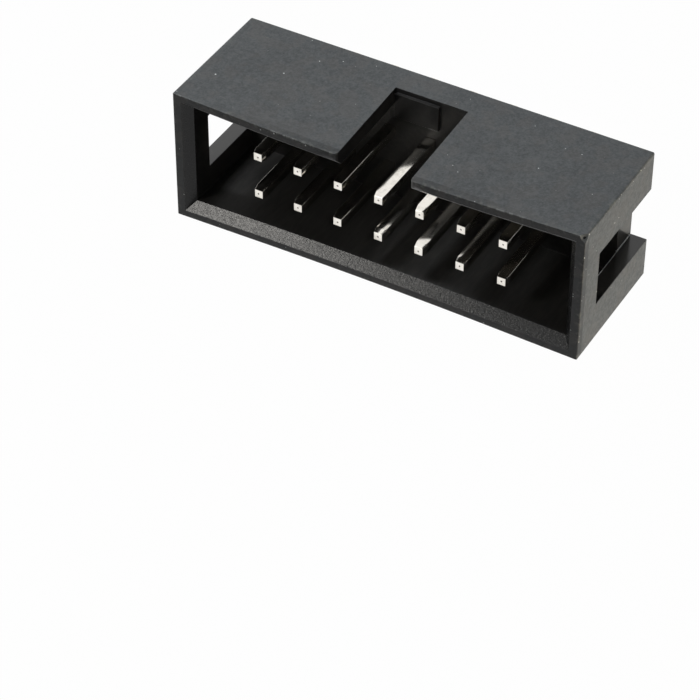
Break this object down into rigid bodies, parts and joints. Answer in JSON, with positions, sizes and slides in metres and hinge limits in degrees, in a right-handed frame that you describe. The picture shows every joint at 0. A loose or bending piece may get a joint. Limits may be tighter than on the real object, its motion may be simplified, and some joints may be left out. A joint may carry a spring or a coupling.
{
  "type": "idc box header",
  "caption": "Straight two-row box header for a ribbon cable socket: shrouded square pins, one keyway, slotted ends and solder tails.",
  "frame": {"origin": "midway between the two rows and their ends, on the plane of the board's surface under the standoffs", "axes": "+X along the rows, -Y out of the keyed wall, +Z out of the mouth; the tails run down along -Z"},
  "size_m": [0.0252, 0.0088, 0.0118],
  "materials": {
    "moulding": "fine matte grain, charcoal",
    "contact": "bright tin plating over a copper alloy, drawn and coined"
  },
  "bodies": {
    "root": {"housing": "moulding", "contact_pin_01": "contact", "contact_pin_02": "contact", "contact_pin_03": "contact", "contact_pin_04": "contact", "contact_pin_05": "contact", "contact_pin_06": "contact", "contact_pin_07": "contact", "contact_pin_08": "contact", "contact_pin_09": "contact", "contact_pin_10": "contact", "contact_pin_11": "contact", "contact_pin_12": "contact", "contact_pin_13": "contact", "contact_pin_14": "contact"}
  },
  "joints": []
}
